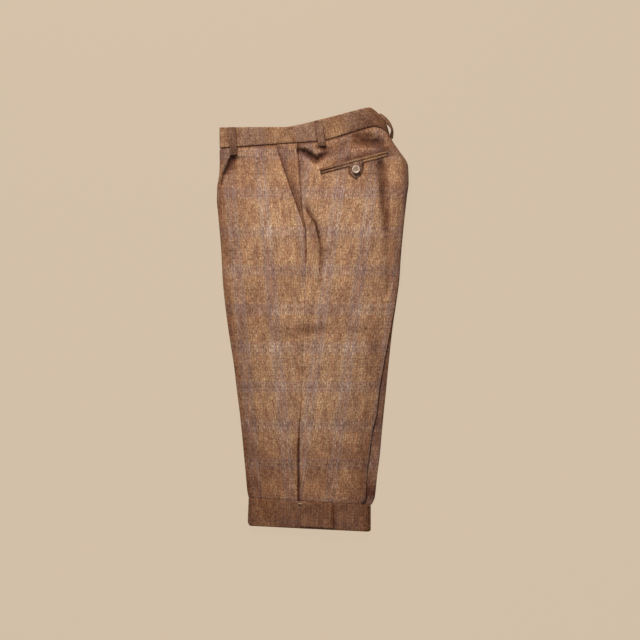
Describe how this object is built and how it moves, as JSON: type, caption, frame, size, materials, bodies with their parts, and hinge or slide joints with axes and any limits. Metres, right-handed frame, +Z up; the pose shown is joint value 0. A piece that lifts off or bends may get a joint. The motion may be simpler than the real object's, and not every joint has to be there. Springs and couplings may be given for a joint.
{
  "type": "knee breeches",
  "caption": "Tweed knee breeches with belt loops, slant and buttoned back pockets and knee bands, folded leg on leg and lying flat.",
  "frame": {"origin": "on the surface the garment lies on, under the middle of its outline", "axes": "+X to the back of the garment, +Y along the legs to the waist, +Z up, away from the surface"},
  "size_m": [0.3648, 0.805, 0.0354],
  "materials": {
    "tweed": "brushed woollen tweed, matt",
    "tweed_band": "brushed woollen tweed, matt",
    "tweed_inside": "matt",
    "horn": "polished horn"
  },
  "bodies": {
    "root": {"left_front_panel": "tweed", "left_back_panel": "tweed", "right_front_panel": "tweed", "right_back_panel": "tweed", "left_pocket_bearer": "tweed", "left_vent_underlap": "tweed", "left_waistband": "tweed_band", "right_waistband": "tweed_band", "left_knee_band": "tweed_band", "right_knee_band": "tweed_band", "knee_tab": "tweed_band", "front_belt_loop": "tweed_band", "side_belt_loop": "tweed_band", "back_belt_loop": "tweed_band", "upper_pocket_jet": "tweed", "lower_pocket_jet": "tweed", "pocket_tab": "tweed_band", "pocket_button": "horn", "inner_layers": "tweed_inside"}
  },
  "joints": []
}
